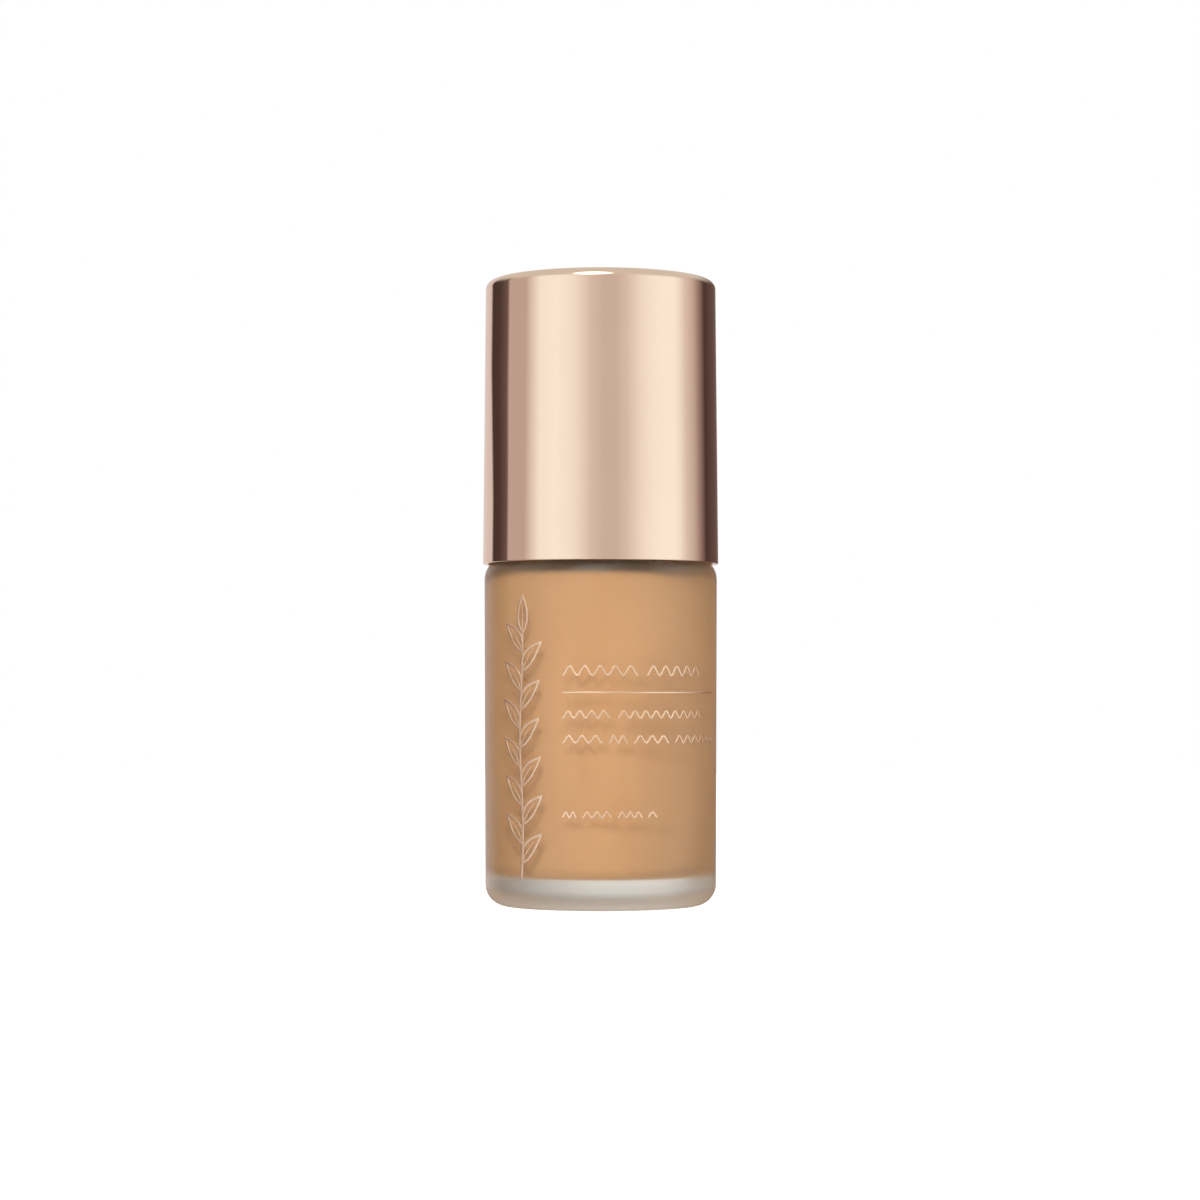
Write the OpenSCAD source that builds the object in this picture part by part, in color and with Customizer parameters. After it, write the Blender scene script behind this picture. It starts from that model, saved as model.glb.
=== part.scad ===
// Foundation bottle: a frosted glass bottle, its liquid, a treatment pump that screws onto the
// neck, and a pull-off metal overcap with a gripping liner.
// Millimetres, +Z up. The origin is the centre of the bottle's foot; the front faces -Y.

/* [Bottle] */
// Diameter of the glass body just under its shoulder
body_d = 35; // [34:0.5:38]
// Height of the flat shoulder above the foot
shoulder_z = 52.4; // [48:0.1:60]
// How much the glass narrows from shoulder to foot, on the diameter
body_taper = 0.42; // [0:0.02:1]
// Glass thickness of the side wall
glass_wall = 3; // [2:0.1:3.5]
// Glass thickness of the heavy floor
glass_floor = 4.5; // [3:0.1:7]
// Glass thickness of the shoulder
glass_shoulder = 3; // [2:0.1:3.5]
// Outer rounding of the shoulder
shoulder_round = 3.65; // [1:0.05:4]
// Outer rounding of the heel
heel_round = 3.2; // [1:0.1:4]
// Headspace between the liquid and the inside of the shoulder
headspace = 0.5; // [0.4:0.1:6]

/* [Neck finish] */
// Diameter over the neck thread
thread_d = 19.9; // [19.7:0.05:20.1]
// Diameter of the neck between the threads
neck_d = 18.1; // [17.9:0.05:18.4]
// Bore of the neck
neck_bore_d = 12.4; // [12:0.1:13]
// Height of the neck above the shoulder
neck_h = 14.1; // [14:0.1:15]
// Rise of the thread in one turn
thread_pitch = 3.175; // [3.1:0.025:3.2]
// Turns of thread on the neck, which are also the turns that free the collar
thread_turns = 1.5; // [1:0.25:1.5]

/* [Pump] */
// Travel of the button when it is pressed
stroke = 4.5; // [3:0.1:4.5]
// Free travel between the stem and the piston, which opens the outlet
piston_play = 0.9; // [0.9:0.05:1.2]
// Diameter of the cylinder that the piston runs in
cylinder_d = 9.2; // [9:0.1:9.6]
// Outer diameter of the hollow stem
stem_d = 5.2; // [5:0.1:5.4]
// Diameter of the inlet valve ball
ball_d = 3; // [2.6:0.1:3]
// Outer diameter of the dip tube
dip_tube_d = 3.4; // [3:0.1:3.6]
// Distance between the dip tube's tip and the glass floor
dip_tube_gap = 1.2; // [0.8:0.1:4]

/* [Overcap] */
// Height of the overcap
cap_h = 42.7; // [42:0.1:46]
// Diameter of the overcap at its open end
cap_d = 35.4; // [34.8:0.1:38]
// Diameter of the overcap at its closed end
cap_top_d = 34.64; // [34:0.02:36]
// Rounding of the overcap's top edge
cap_edge_round = 1.3; // [0.4:0.1:3]
// Thickness of the metal shell
cap_shell_t = 0.7; // [0.5:0.05:0.9]
// Number of radial fins that centre the liner in the shell
fin_count = 12; // [6:1:16]
// Number of ribs that grip the collar
grip_count = 8; // [4:1:12]

/* [Artwork] */
// Height of the sprig's lowest tip above the foot
sprig_z = 4.4; // [4:0.1:6]
// Height of one leaf above the last
leaf_rise = 2.8; // [2:0.1:2.9]
// Number of leaves up the stem
leaf_count = 13; // [5:2:13]
// Length of a leaf
leaf_l = 5.4; // [3:0.1:5.6]
// Lean of a leaf away from the stem, in degrees
leaf_lean = 40; // [25:1:60]

/* [Hidden] */

$fn = 96;
arc_steps = 10;         // straight steps in one rounded corner of an outline
fit = 0.02;             // air left between two pieces that are pressed together
run = 0.05;             // air left between two pieces that slide on each other
past = 1;               // how far a cut runs past the face that it opens
tiny_round = 0.3;       // rounding of a moulded edge
small_round = 0.4;      // rounding of a moulded edge that is handled or heavier

// Colours
glass_colour = [0.80, 0.78, 0.72, 0.55];
liquid_colour = [0.82, 0.62, 0.44];
metal_colour = [0.90, 0.72, 0.60];
natural_colour = [0.93, 0.92, 0.89];
seal_colour = [0.85, 0.87, 0.88];
steel_colour = [0.72, 0.72, 0.74];
label_colour = [0.96, 0.95, 0.93];

// Bottle
body_r = body_d / 2;
foot_r = body_r - body_taper / 2;
cavity_r = body_r - glass_wall;
cavity_foot_r = foot_r - glass_wall;
cavity_round = 2;             // inner rounding where the wall meets the floor
ceiling_round = 1;            // inner rounding where the wall meets the shoulder
ceiling_z = shoulder_z - glass_shoulder;
neck_bore_r = neck_bore_d / 2;
neck_r = neck_d / 2;
lip_z = shoulder_z + neck_h;
foot_ring_r = 10.8;             // inner edge of the ring that the bottle stands on
foot_recess = 0.7;              // depth of the recess under the foot
foot_ring_slope = 1;            // how far the recess leans in from the ring
foot_ring_round = 0.6;
bead_r = 9.6;                   // transfer bead under the thread
bead_z = shoulder_z + 1.8;
bead_h = 1.2;
neck_root_round = 0.8;          // where the neck rises from the shoulder
lip_round = 0.5;
bore_foot_round = 1;            // where the neck's bore opens into the cavity
label_r = 9;
label_t = 0.1;

// Foil artwork, as bearings in degrees from the front, positive to the right
foil_gap = 0.01;
foil_t = 0.04;
sprig_bearing = -42;
stem_w = 0.36;
leaf_w = 1.8;
leaf_line = 0.26;               // width of the line that draws a leaf
leaf_rib_l = 0.65;              // length of a leaf's rib, as a share of the leaf
leaf_drop = 0.2;                // how far a leaf's root lies below its place on the stem
margin_bearing = -18.6;         // left end of every bar
rule_z = 31.8;
rule_h = 0.2;
// Rows of bars: [height of centre, thickness, [[start, end] along the glass, ...]]
bar_rows = [
    [rule_z, rule_h, [[0, 27]]],
    [rule_z + 3.2, 1.1, [[0, 11.2], [12.6, 23]]],
    [rule_z - 3.1, 0.8, [[0, 7], [8.2, 23.4]]],
    [rule_z - 6.8, 0.8, [[0, 5.9], [6.9, 9.6], [10.6, 16.3], [17.4, 28]]],
    [rule_z - 17.7, 0.6, [[0, 2.1], [3, 7.3], [8.2, 11.9], [12.7, 14.3]]]
];

// Thread: the neck's turns, and the collar's turns half a pitch below them
thread_r = thread_d / 2;
thread_z = shoulder_z + 5.8;
thread_clear = 0.3;
thread_step = 15;               // degrees between two sections of a thread
thread_run_out = 30;            // degrees in which a thread's end fades into its wall
thread_bite = 0.25;             // depth of a thread's root inside its wall
neck_thread_w = [2.5, 1.0];     // widths at the root and the crest
collar_thread_w = [2.3, 0.9];

// Stack that is clamped on the lip
gasket_t = 0.8;
gasket_out = 0.1;               // how far it stays inside the flange above it
gasket_in = 0.2;                // how far it stays clear of the neck's bore
flange_z = lip_z + gasket_t;    // underside of the housing's flange
flange_t = 1.4;
cover_z = flange_z + flange_t;  // underside of the cover's flange
cover_t = 0.7;
collar_disc_z = cover_z + cover_t;
collar_disc_t = 1.2;
collar_top_z = collar_disc_z + collar_disc_t;

// Housing
cylinder_r = cylinder_d / 2;
housing_wall = 1;
housing_round = 0.6;
housing_r = cylinder_r + housing_wall;
flange_r = 9.5;
cover_r = flange_r - 0.9;
seat_z = flange_z - 18.6;       // floor of the cylinder, on which the spring stands
cage_r = 1.9;                   // bore of the cage that the ball lifts in
cage_z = seat_z - 2.3;          // lower end of the cage's straight bore
cage_wall = 1.3;
cage_gap_r = ball_d / 2 - 0.15; // opening over the cage, too small for the ball
cage_roof_t = 0.6;
inlet_r = 1.1;
inlet_z = cage_z - 1.1;         // lower end of the ball's conical seat
socket_z = inlet_z - 0.9;       // shoulder that stops the dip tube
socket_depth = 4;
socket_wall = 1;
vent_r = 0.4;
vent_z = flange_z - 3;

// Dip tube
dip_tube_r = dip_tube_d / 2;
dip_tube_wall = 0.6;
dip_tube_bore_r = dip_tube_r - dip_tube_wall;
dip_tube_z = glass_floor + dip_tube_gap;
dip_tube_slant = 35;            // cut of its tip, in degrees

// Ball, resting on its conical seat
ball_r = ball_d / 2;
seat_dr = cage_r - inlet_r;
seat_dz = cage_z - inlet_z;
ball_z = inlet_z + ((ball_r + fit) * norm([seat_dr, seat_dz]) - inlet_r * seat_dz) / seat_dr;

// Stem and what hangs on it
stem_r = stem_d / 2;
stop_z = cover_z - 2.4;         // underside of the cover, which stops the stem's upward travel
stem_flange_r = 3.9;
stem_flange_t = 1.2;
stem_z = stop_z - run - stem_flange_t;
stem_bore_r = 1.4;
stem_socket_r = 2;
stem_socket_depth = 3;
piston_h = 2.4;
piston_bore_r = 2;
piston_z = stem_z - piston_play - piston_h;
shank_r = 1.65;
core_disc_r = 3.5;
core_disc_t = 1;
core_cone_h = 1.2;
core_cone_z = piston_z - core_cone_h * (core_disc_r - piston_bore_r) / (core_disc_r - shank_r) - fit;
core_z = core_cone_z - core_disc_t;     // face that the spring pushes against
pilot_l = 1.8;                  // pin that centres the spring
pilot_gap = 0.25;
rib_in = 1;                     // radius at which the shank's ribs begin
rib_w = 0.8;
rib_low = 0.5;                  // height of the ribs' lower ends above the stem's
lip_t = 0.4;                    // piston's lips
lip_root_t = 0.5;
lip_drop = 0.2;                 // how far the lower lip hangs below the piston
piston_wall = 0.8;
web_low = 0.7;                  // web between the piston's bore and its lips
web_high = 1.5;

// Spring
spring_wire_r = 0.3;
spring_r = 2.75;
spring_turns = 7;
spring_sides = 6;               // sides of the wire's section
spring_step = 18;               // degrees between two sections of the wire
spring_lay = 2.2;               // rise of a closed turn, in wire radii

// Cover's hub and the button over it
hub_r = 5.3;
collar_low_z = shoulder_z + 1.4;
collar_hub_gap = 0.2;           // air between the collar and the hub that it turns on
hub_top_z = collar_disc_z + 7.3;
hub_round = 0.6;
guide_round = 0.2;
snap_t = 0.35;                  // bead that the collar snaps under
snap_h = 0.5;
sleeve_r = 12.2;
sleeve_t = 0.55;
sleeve_lip_t = 0.6;
sleeve_low_z = shoulder_z + 1;
sleeve_hub_gap = 0.9;           // ring of plastic left showing round the hub
sleeve_edge_round = 0.8;
sheet_round = 0.2;              // rounding of a cut edge of metal sheet
sleeve_top_z = collar_top_z + fit + sleeve_lip_t;
button_z = sleeve_top_z + stroke + 0.3;         // lower edge of the button
button_ceiling_z = hub_top_z + stroke + 0.7;    // inside top of the button's skirt
stem_top_z = button_ceiling_z + 2.8;
spout_z = stem_top_z + 1;
button_top_z = spout_z + 3;
button_shell_r = 7.6;
button_shell_t = 0.45;
button_r = button_shell_r - button_shell_t - fit;
button_skirt_t = 1.4;
boss_t = 1.6;                   // wall round the stem's socket, and how far it hangs
boss_h = 0.6;
dish_depth = 0.6;
dish_rim = 1;                   // flat rim round the finger dish
button_edge_round = 0.9;
shell_lift = 0.3;               // how far the shell ends above the core's lower edge
spout_r = 2;
spout_reach = 11.2;
channel_r = 1;
insert_r = 1.3;
insert_l = 2.2;
orifice_r = 0.5;

// Overcap
cap_z = shoulder_z - 1.3;
cap_top_z = cap_z + cap_h;
cap_rim_round = 0.15;
liner_top_z = cap_top_z - cap_shell_t - fit;
liner_disc_t = 1.45;
liner_r = 12.75;
liner_wall = 1.1;
liner_edge_round = 0.6;
liner_z = cap_z + 5.9;
liner_gap = 0.1;                // air between the liner's top disc and the shell
fin_gap = 0.03;                 // air between a fin and the shell
fin_w = 0.9;
fin_low_z = liner_z + 1;
fin_bite = 0.5;                 // how far the fins reach into the disc
grip_z = liner_z + 1;
grip_h = 10;
grip_w = 1.2;
grip_lead = 1;                  // height of the slope at each end of a rib
grip_bite = 0.3;                // how far the ribs reach into the sleeve
grip_gap = 0.08;                // air between a rib and the collar's sleeve

// ---- outlines and sweeps ----

function unit(v) = v / norm(v);

// The corner b between a and c, rounded to radius r, as points on a tangent arc
function corner(a, b, c, r) =
    r <= 0 ? [b] :
    let (
        u = unit(a - b),
        v = unit(c - b),
        half = acos(u * v) / 2,
        centre = b + unit(u + v) * r / sin(half),
        p = b + u * r / tan(half) - centre,
        q = b + v * r / tan(half) - centre,
        from = atan2(p.y, p.x),
        turn = atan2(p.x * q.y - p.y * q.x, p * q)
    )
    [for (i = [0:arc_steps])
        centre + r * [cos(from + turn * i / arc_steps), sin(from + turn * i / arc_steps)]];

// A closed outline from corners written as [x, y] or [x, y, rounding]
function outline(corners) =
    let (n = len(corners), at = [for (c = corners) [c.x, c.y]])
    [for (i = [0:n - 1])
        each corner(at[(i + n - 1) % n], at[i], at[(i + 1) % n],
                    is_undef(corners[i][2]) ? 0 : corners[i][2])];

// A solid of revolution about Z from corners written as [radius, z, rounding]
module lathe(corners) {
    rotate_extrude() polygon(outline(corners));
}

// A ring about Z
module ring(r_out, r_in, z, h) {
    lathe([[r_in, z], [r_out, z], [r_out, z + h], [r_in, z + h]]);
}

// A solid through equal loops of points, closed by its first and last loop
module sweep(loops) {
    m = len(loops[0]);
    n = len(loops);
    polyhedron(
        points = [for (loop = loops) each loop],
        faces = concat(
            [[for (j = [0:m - 1]) j]],
            [for (i = [0:n - 2]) for (j = [0:m - 1]) each [
                [i * m + j, (i + 1) * m + j, (i + 1) * m + (j + 1) % m],
                [i * m + j, (i + 1) * m + (j + 1) % m, i * m + (j + 1) % m]
            ]],
            [[for (j = [m - 1:-1:0]) (n - 1) * m + j]]
        ));
}

// A thread of trapezoid section. root_r lies inside the wall it stands on, crest_r is its tip, and
// width holds the section's widths at the root and the crest.
module thread(root_r, wall_r, crest_r, width, z) {
    degrees = 360 * thread_turns;
    root = width[0] / 2;
    crest = width[1] / 2;
    loops = [for (a = [0:thread_step:degrees])
        let (
            fade = min(1, a / thread_run_out, (degrees - a) / thread_run_out),
            tip_r = wall_r + (crest_r - wall_r) * fade + (root_r - wall_r) * (1 - fade) / 2,
            rise = z + thread_pitch * a / 360
        )
        [for (p = [[root_r, -root], [tip_r, -crest], [tip_r, crest], [root_r, root]])
            [p.x * cos(a), p.x * sin(a), rise + p.y]]];
    sweep(crest_r < root_r ? loops : [for (l = loops) [for (j = [3:-1:0]) l[j]]]);
}

// ---- bottle ----

module glass_bottle() {
    color(glass_colour) union() {
        lathe([
            [0, foot_recess],
            [foot_ring_r - foot_ring_slope, foot_recess, foot_ring_round],
            [foot_ring_r, 0, small_round],
            [foot_r, 0, heel_round],
            [body_r, shoulder_z, shoulder_round],
            [neck_r, shoulder_z, neck_root_round],
            [neck_r, bead_z],
            [bead_r, bead_z, tiny_round],
            [bead_r, bead_z + bead_h, tiny_round],
            [neck_r, bead_z + bead_h],
            [neck_r, lip_z, lip_round],
            [neck_bore_r, lip_z, small_round],
            [neck_bore_r, ceiling_z, bore_foot_round],
            [cavity_r, ceiling_z, ceiling_round],
            [cavity_foot_r, glass_floor, cavity_round],
            [0, glass_floor]
        ]);
        thread(neck_r - thread_bite, neck_r, thread_r, neck_thread_w, thread_z);
    }
}

// The liquid fills the cavity to its level, around the pump that dips into it
module foundation_liquid() {
    level = ceiling_z - headspace;
    color(liquid_colour) difference() {
        intersection() {
            lathe([
                [0, glass_floor + fit],
                [cavity_foot_r - fit, glass_floor + fit, cavity_round],
                [cavity_r - fit, ceiling_z - fit, ceiling_round],
                [0, ceiling_z - fit]
            ]);
            cylinder(r = body_r, h = level);
        }
        translate([0, 0, dip_tube_z - run]) cylinder(r = dip_tube_r + run, h = level);
        translate([0, 0, socket_z - socket_depth - run])
            cylinder(r = dip_tube_r + socket_wall + run, h = level);
        translate([0, 0, socket_z - run]) cylinder(r = cage_r + cage_wall + run, h = level);
        translate([0, 0, seat_z - housing_wall - run]) cylinder(r = housing_r + run, h = level);
    }
}

// Paper sticker in the recess under the foot
module shade_label() {
    color(label_colour) translate([0, 0, foot_recess - label_t]) cylinder(r = label_r, h = label_t);
}

// Radius of the glass at height z, between its heel and its shoulder
function glass_r(z) = foot_r + (body_r - foot_r) * z / shoulder_z;

// Outline of the foil's section between two heights
function foil_section(z0, z1) = [
    [glass_r(z0) + foil_gap, z0], [glass_r(z0) + foil_gap + foil_t, z0],
    [glass_r(z1) + foil_gap + foil_t, z1], [glass_r(z1) + foil_gap, z1]
];

// A pointed leaf in the plane, growing up from the origin
module leaf(l, w) {
    r = (l * l / 4 + w * w / 4) / w;
    intersection() {
        translate([r - w / 2, l / 2]) circle(r = r);
        translate([w / 2 - r, l / 2]) circle(r = r);
    }
}

// The same leaf as a line round its edge, with a rib up its middle
module leaf_outline() {
    difference() {
        leaf(leaf_l, leaf_w);
        translate([0, 2 * leaf_line]) leaf(leaf_l - 4 * leaf_line, leaf_w - 2 * leaf_line);
    }
    translate([-leaf_line / 4, leaf_line]) square([leaf_line / 2, leaf_l * leaf_rib_l]);
}

// Leafy stem in foil, up the left of the front
module foil_sprig() {
    stem_h = leaf_rise * leaf_count;
    color(metal_colour) intersection() {
        rotate_extrude() polygon(foil_section(sprig_z - 1, sprig_z + stem_h + leaf_l));
        rotate([90, 0, sprig_bearing]) linear_extrude(2 * body_r) {
            translate([-stem_w / 2, sprig_z]) square([stem_w, stem_h]);
            for (i = [1:leaf_count])
                translate([0, sprig_z + leaf_rise * i - leaf_drop])
                    rotate(i == leaf_count ? 0 : (i % 2 == 0 ? leaf_lean : -leaf_lean))
                        leaf_outline();
        }
    }
}

// Rows of plain foil bars, with a thin rule under the first
module foil_bars() {
    color(metal_colour) for (row = bar_rows) for (span = row[2])
        let (arc = 180 / (PI * body_r))
            rotate([0, 0, margin_bearing - 90 + span[0] * arc])
                rotate_extrude(angle = (span[1] - span[0]) * arc)
                    polygon(foil_section(row[0] - row[1] / 2, row[0] + row[1] / 2));
}

// ---- pump housing ----

module pump_housing() {
    color(natural_colour) difference() {
        lathe([
            [dip_tube_r + fit / 2, socket_z - socket_depth],
            [dip_tube_r + socket_wall, socket_z - socket_depth, tiny_round],
            [dip_tube_r + socket_wall, socket_z],
            [cage_r + cage_wall, socket_z, tiny_round],
            [cage_r + cage_wall, seat_z - housing_wall],
            [housing_r, seat_z - housing_wall, housing_round],
            [housing_r, flange_z],
            [flange_r, flange_z],
            [flange_r, cover_z],
            [cylinder_r, cover_z],
            [cylinder_r, seat_z],
            [cage_gap_r, seat_z],
            [cage_gap_r, seat_z - cage_roof_t],
            [cage_r, seat_z - cage_roof_t],
            [cage_r, cage_z],
            [inlet_r, inlet_z],
            [inlet_r, socket_z],
            [dip_tube_r + fit / 2, socket_z]
        ]);
        translate([0, 0, vent_z]) rotate([0, 90, 0]) cylinder(r = vent_r, h = 2 * housing_r);
    }
}

// Snap-in cover that stops the stem and carries the hub under the button
module housing_cover() {
    plug_r = cylinder_r - fit;
    guide_r = stem_r + run;
    bead_low_z = collar_top_z + run;
    color(natural_colour) lathe([
        [guide_r, stop_z],
        [plug_r, stop_z, tiny_round],
        [plug_r, cover_z],
        [cover_r, cover_z],
        [cover_r, collar_disc_z],
        [hub_r, collar_disc_z],
        [hub_r, bead_low_z],
        [hub_r + snap_t, bead_low_z + snap_h * 0.4],
        [hub_r, bead_low_z + snap_h],
        [hub_r, hub_top_z, hub_round],
        [guide_r, hub_top_z, guide_round]
    ]);
}

module neck_gasket() {
    color(seal_colour) ring(flange_r - gasket_out, neck_bore_r + gasket_in, lip_z, gasket_t);
}

module dip_tube() {
    color(natural_colour) difference() {
        ring(dip_tube_r, dip_tube_bore_r, dip_tube_z, socket_z - dip_tube_z);
        // Slanted tip, so that the tube can't seal against the floor
        translate([0, 0, dip_tube_z]) rotate([0, dip_tube_slant, 0]) translate([0, 0, -dip_tube_d])
            cube([4 * dip_tube_d, 2 * dip_tube_d, 2 * dip_tube_d], center = true);
    }
}

// Compression spring whose first and last turns lie closed
module return_spring() {
    z_low = seat_z + spring_wire_r + fit;
    z_high = core_z - spring_wire_r - fit;
    closed = spring_lay * spring_wire_r;
    middle = (z_high - z_low - 2 * closed) / (spring_turns - 2);
    function rise(t) =
        t < 1 ? closed * t :
        t > spring_turns - 1 ? z_high - z_low - closed * (spring_turns - t) :
        closed + middle * (t - 1);
    color(steel_colour) sweep([for (a = [0:spring_step:360 * spring_turns])
        [for (k = [0:spring_sides - 1])
            let (
                s = 360 * k / spring_sides,
                r = spring_r + spring_wire_r * cos(s),
                z = z_low + rise(a / 360) + spring_wire_r * sin(s)
            )
            [r * cos(a), r * sin(a), z]]]);
}

// ---- collar ----

module screw_collar() {
    inner_r = thread_r + thread_clear;
    outer_r = sleeve_r - sleeve_t - fit;
    color(natural_colour) union() {
        lathe([
            [inner_r, collar_low_z],
            [outer_r, collar_low_z, tiny_round],
            [outer_r, collar_top_z, small_round],
            [hub_r + collar_hub_gap, collar_top_z],
            [hub_r + collar_hub_gap, collar_disc_z],
            [inner_r, collar_disc_z]
        ]);
        thread(inner_r + thread_bite, inner_r, neck_r + thread_clear, collar_thread_w,
               thread_z - thread_pitch / 2);
    }
}

module collar_sleeve() {
    in_r = sleeve_r - sleeve_t;
    color(metal_colour) lathe([
        [in_r, sleeve_low_z],
        [sleeve_r, sleeve_low_z, sheet_round],
        [sleeve_r, sleeve_top_z, sleeve_edge_round],
        [hub_r + sleeve_hub_gap, sleeve_top_z, sheet_round],
        [hub_r + sleeve_hub_gap, collar_top_z + fit],
        [in_r, collar_top_z + fit, sheet_round]
    ]);
}

// ---- stem, piston and valve ----

module pump_stem() {
    color(natural_colour) lathe([
        [stem_socket_r, stem_z],
        [stem_flange_r, stem_z, guide_round],
        [stem_flange_r, stem_z + stem_flange_t],
        [stem_r, stem_z + stem_flange_t],
        [stem_r, stem_top_z, tiny_round],
        [stem_bore_r, stem_top_z],
        [stem_bore_r, stem_z + stem_socket_depth],
        [stem_socket_r, stem_z + stem_socket_depth]
    ]);
}

// Pin whose cone closes the piston's bore; three ribs hold it in the stem and leave room to flow
module stem_core() {
    shank_top_z = stem_z + stem_socket_depth - 2 * run;
    pilot_r = spring_r - spring_wire_r - pilot_gap;
    rib_z = stem_z + rib_low;
    color(natural_colour) union() {
        lathe([
            [0, core_z - pilot_l],
            [pilot_r, core_z - pilot_l, small_round],
            [pilot_r, core_z],
            [core_disc_r, core_z],
            [core_disc_r, core_cone_z],
            [shank_r, core_cone_z + core_cone_h],
            [shank_r, shank_top_z, tiny_round],
            [0, shank_top_z]
        ]);
        for (i = [0:2]) rotate([0, 0, 120 * i])
            translate([rib_in, -rib_w / 2, rib_z])
                cube([stem_socket_r - run - rib_in, rib_w, shank_top_z - rib_z - tiny_round]);
    }
}

// Sliding piston with one lip up and one lip down
module piston_seal() {
    lip_r = cylinder_r - run;
    wall_r = piston_bore_r + piston_wall;
    color(seal_colour) lathe([
        [piston_bore_r, piston_z],
        [wall_r, piston_z],
        [wall_r, piston_z + web_low],
        [lip_r - lip_root_t, piston_z + web_low],
        [lip_r - lip_t, piston_z - lip_drop],
        [lip_r, piston_z - lip_drop],
        [lip_r, piston_z + piston_h],
        [lip_r - lip_t, piston_z + piston_h],
        [lip_r - lip_root_t, piston_z + web_high],
        [wall_r, piston_z + web_high],
        [wall_r, piston_z + piston_h],
        [piston_bore_r, piston_z + piston_h]
    ]);
}

module inlet_ball() {
    color(steel_colour) translate([0, 0, ball_z]) sphere(r = ball_r);
}

// ---- button ----

// Shallow finger dish: points of an arc from the axis to radius r, sagging by dish_depth at z
function dish(r, z) =
    let (
        radius = (r * r + dish_depth * dish_depth) / (2 * dish_depth),
        reach = asin(r / radius)
    )
    [for (i = [0:arc_steps])
        let (a = reach * i / arc_steps)
        [radius * sin(a), z - dish_depth + radius * (1 - cos(a))]];

module actuator_core() {
    top = button_top_z - button_shell_t - fit;
    color(natural_colour) difference() {
        union() {
            rotate_extrude() polygon(concat(
                [[0, button_z], [button_r, button_z], [button_r, top]],
                [for (i = [arc_steps:-1:0]) dish(button_r - dish_rim, top)[i]]));
            translate([0, 0, spout_z]) rotate([90, 0, 0]) cylinder(r = spout_r, h = spout_reach);
        }
        difference() {
            translate([0, 0, button_z - past])
                cylinder(r = button_r - button_skirt_t, h = button_ceiling_z - button_z + past);
            ring(stem_r + boss_t, stem_bore_r, button_ceiling_z - boss_h, boss_h + past);
        }
        translate([0, 0, button_z]) cylinder(r = stem_r + fit, h = stem_top_z - button_z);
        translate([0, 0, stem_top_z - past]) cylinder(r = channel_r, h = spout_z - stem_top_z + past);
        translate([0, 0, spout_z]) rotate([90, 0, 0]) cylinder(r = channel_r, h = spout_reach + past);
        translate([0, insert_l - spout_reach, spout_z]) rotate([90, 0, 0])
            cylinder(r = insert_r + fit, h = insert_l + past);
    }
}

module actuator_shell() {
    inner_r = button_shell_r - button_shell_t;
    ceiling = button_top_z - button_shell_t;
    low = button_z + shell_lift;
    color(metal_colour) difference() {
        rotate_extrude() polygon(concat(
            dish(button_r - dish_rim, ceiling),
            [[inner_r, ceiling], [inner_r, low], [button_shell_r, low]],
            corner([button_shell_r, low], [button_shell_r, button_top_z], [0, button_top_z],
                   button_edge_round),
            [for (i = [arc_steps:-1:0]) dish(button_r - dish_rim, button_top_z)[i]]));
        translate([0, 0, spout_z]) rotate([90, 0, 0])
            cylinder(r = spout_r + run, h = 2 * button_shell_r);
    }
}

// Pressed-in outlet with a fine orifice
module nozzle_insert() {
    color(metal_colour) translate([0, insert_l - spout_reach, spout_z]) rotate([90, 0, 0]) difference() {
        cylinder(r = insert_r, h = insert_l);
        translate([0, 0, -past]) cylinder(r = orifice_r, h = insert_l + 2 * past);
    }
}

// ---- overcap ----

module cap_shell() {
    r = cap_d / 2;
    top_r = cap_top_d / 2;
    color(metal_colour) lathe([
        [r - cap_shell_t, cap_z, sheet_round],
        [r, cap_z, cap_rim_round],
        [top_r, cap_top_z, cap_edge_round],
        [0, cap_top_z],
        [0, cap_top_z - cap_shell_t],
        [top_r - cap_shell_t, cap_top_z - cap_shell_t, max(cap_edge_round - cap_shell_t, cap_rim_round)]
    ]);
}

// Inner cap: a sleeve that grips the collar, centred in the shell by radial fins
module cap_liner() {
    disc_z = liner_top_z - liner_disc_t;
    disc_r = cap_top_d / 2 - cap_shell_t - liner_gap;
    fin_low_r = disc_r - fin_gap + (cap_d - cap_top_d) / 2 * (cap_top_z - liner_z) / cap_h;
    color(natural_colour) union() {
        lathe([
            [0, disc_z],
            [liner_r, disc_z],
            [liner_r, liner_z, tiny_round],
            [liner_r + liner_wall, liner_z, tiny_round],
            [liner_r + liner_wall, disc_z],
            [disc_r, disc_z],
            [disc_r, liner_top_z, liner_edge_round],
            [0, liner_top_z]
        ]);
        for (i = [0:fin_count - 1]) rotate([90, 0, 360 * (i + 0.5) / fin_count])
            translate([0, 0, -fin_w / 2]) linear_extrude(fin_w) polygon([
                [liner_r + liner_wall / 2, fin_low_z],
                [fin_low_r, fin_low_z],
                [disc_r - fin_gap, disc_z + fin_bite],
                [liner_r + liner_wall / 2, disc_z + fin_bite]
            ]);
        for (i = [0:grip_count - 1]) rotate([90, 0, 360 * i / grip_count])
            translate([0, 0, -grip_w / 2]) linear_extrude(grip_w) polygon([
                [liner_r + grip_bite, grip_z],
                [liner_r, grip_z],
                [sleeve_r + grip_gap, grip_z + grip_lead],
                [sleeve_r + grip_gap, grip_z + grip_h - grip_lead],
                [liner_r, grip_z + grip_h],
                [liner_r + grip_bite, grip_z + grip_h]
            ]);
    }
}

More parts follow.
